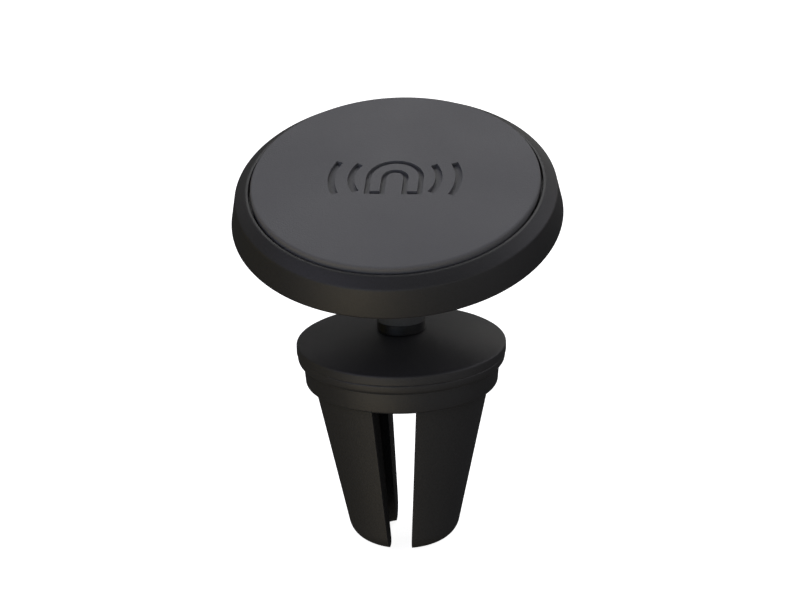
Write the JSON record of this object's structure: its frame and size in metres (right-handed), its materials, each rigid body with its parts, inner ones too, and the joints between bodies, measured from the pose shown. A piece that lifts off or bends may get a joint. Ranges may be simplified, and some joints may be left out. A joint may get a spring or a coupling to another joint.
{
  "type": "air vent phone mount",
  "caption": "Magnetic car phone mount: a round padded head on a ball joint above a flanged clip whose tapered prongs grip an air-vent blade.",
  "frame": {"origin": "where the clip's axis crosses the plane of the flange's top edge", "axes": "+Z along the clip's axis, away from the vent; the head leans towards -Y at rest; the wide slot between the prongs runs along Y"},
  "size_m": [0.044, 0.0419, 0.0588],
  "materials": {
    "silicone": "matte, fine-grained",
    "tape": "matte",
    "shell": "satin moulded",
    "nylon": "smooth",
    "magnet": "nickel plated",
    "steel": "zinc plated",
    "stud": "black oxide, satin",
    "prong": "matte moulded nylon"
  },
  "bodies": {
    "vent_clip": {"flange_cap": "shell", "collar_ring": "shell", "clip_core": "shell", "core_screw_front": "steel", "core_screw_back": "steel"},
    "ball_stud": {"ball_stud": "stud", "stud_washer": "steel", "stud_nut": "steel"},
    "ball_seat": {"ball_seat": "nylon"},
    "head": {"front_pad": "silicone", "pad_tape": "tape", "front_housing": "shell", "magnet_tray": "nylon", "magnet_1": "magnet", "magnet_2": "magnet", "magnet_3": "magnet", "magnet_4": "magnet", "magnet_5": "magnet", "magnet_6": "magnet", "steel_plate": "steel", "back_cover": "shell", "cover_screw_1": "steel", "cover_screw_2": "steel", "cover_screw_3": "steel", "wave_washer": "steel", "socket_ring": "shell"},
    "prong_front_left": {"prong_front_left": "prong"},
    "prong_front_right": {"prong_front_right": "prong"},
    "prong_back_left": {"prong_back_left": "prong"},
    "prong_back_right": {"prong_back_right": "prong"}
  },
  "joints": [
    {"name": "ball_swivel", "type": "hinge", "parent": "vent_clip", "child": "ball_stud", "pos_m": [0, 0, 0.013], "axis": [0, 0, 1], "continuous": true},
    {"name": "head_tilt", "type": "hinge", "parent": "ball_stud", "child": "ball_seat", "pos_m": [0, 0, 0.013], "axis": [1, 0, 0], "range_deg": [-52, 12]},
    {"name": "head_spin", "type": "hinge", "parent": "ball_seat", "child": "head", "pos_m": [0, 0, 0.013], "axis": [0, -0.342, 0.9397], "continuous": true},
    {"name": "prong_flex_front_left", "type": "hinge", "parent": "vent_clip", "child": "prong_front_left", "pos_m": [-0.00636, -0.00636, -0.0048], "axis": [-0.7071, 0.7071, 0], "range_deg": [-1, 3], "stiffness_Nm_per_rad": 2},
    {"name": "prong_flex_front_right", "type": "hinge", "parent": "vent_clip", "child": "prong_front_right", "pos_m": [0.00636, -0.00636, -0.0048], "axis": [-0.7071, -0.7071, 0], "range_deg": [-1, 3], "stiffness_Nm_per_rad": 2},
    {"name": "prong_flex_back_left", "type": "hinge", "parent": "vent_clip", "child": "prong_back_left", "pos_m": [-0.00636, 0.00636, -0.0048], "axis": [0.7071, 0.7071, 0], "range_deg": [-1, 3], "stiffness_Nm_per_rad": 2},
    {"name": "prong_flex_back_right", "type": "hinge", "parent": "vent_clip", "child": "prong_back_right", "pos_m": [0.00636, 0.00636, -0.0048], "axis": [0.7071, -0.7071, 0], "range_deg": [-1, 3], "stiffness_Nm_per_rad": 2}
  ]
}
